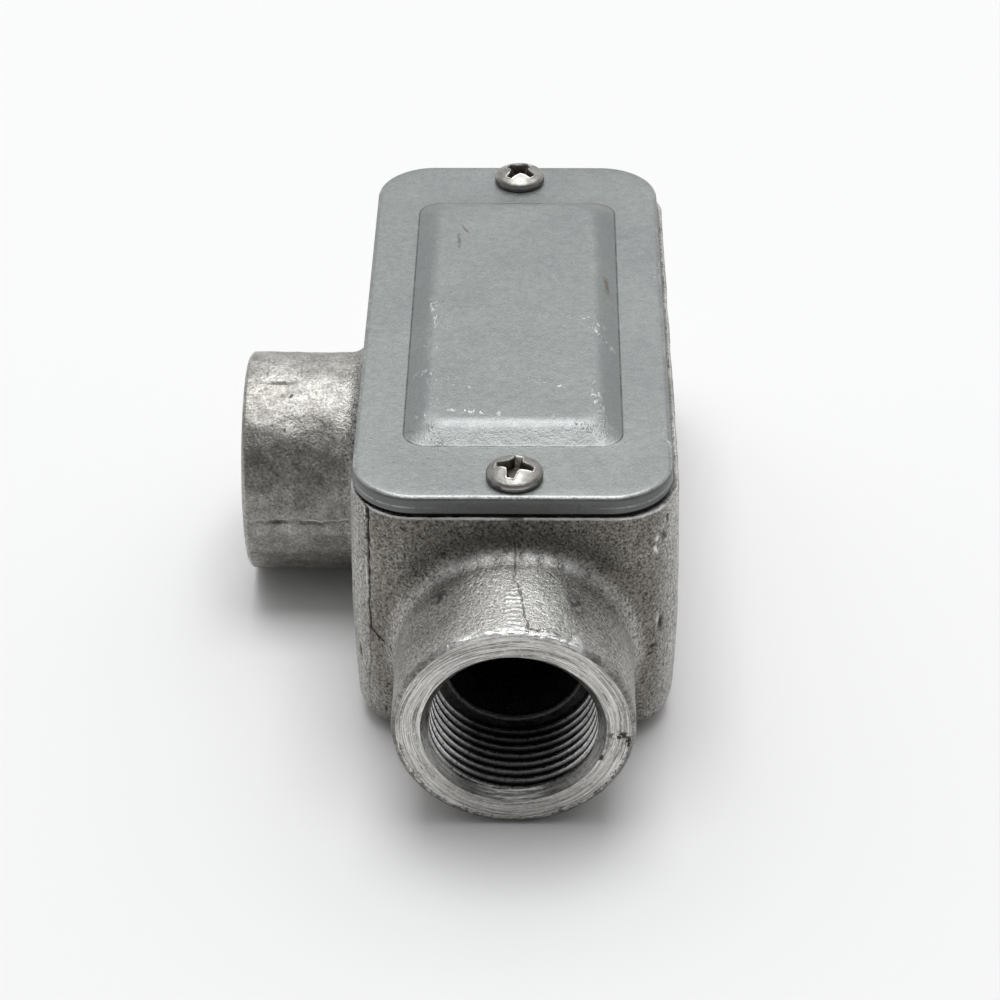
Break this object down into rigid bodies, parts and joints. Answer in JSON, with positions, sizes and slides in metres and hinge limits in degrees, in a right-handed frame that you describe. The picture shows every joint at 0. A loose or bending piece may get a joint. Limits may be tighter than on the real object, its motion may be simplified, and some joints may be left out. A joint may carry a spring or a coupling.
{
  "type": "conduit body",
  "caption": "Cast electrical conduit body with a threaded hub on its end and one on its side, a gasketed cover with a raised panel, and two pan-head cover screws.",
  "frame": {"origin": "centre of the casting's flat back", "axes": "+Z out through the cover, -Y along the end hub's axis towards its mouth, -X along the side hub's axis towards its mouth"},
  "size_m": [0.0693, 0.1211, 0.0486],
  "materials": {
    "cast_aluminium": "rough as-cast, with machined hub faces and rim",
    "gasket_rubber": "matt black",
    "cover_metal": "satin grey, with bright worn edges",
    "screw_steel": "worn bright zinc"
  },
  "bodies": {
    "root": {"body": "cast_aluminium", "gasket": "gasket_rubber", "cover": "cover_metal", "cover_screws": "screw_steel"}
  },
  "joints": []
}
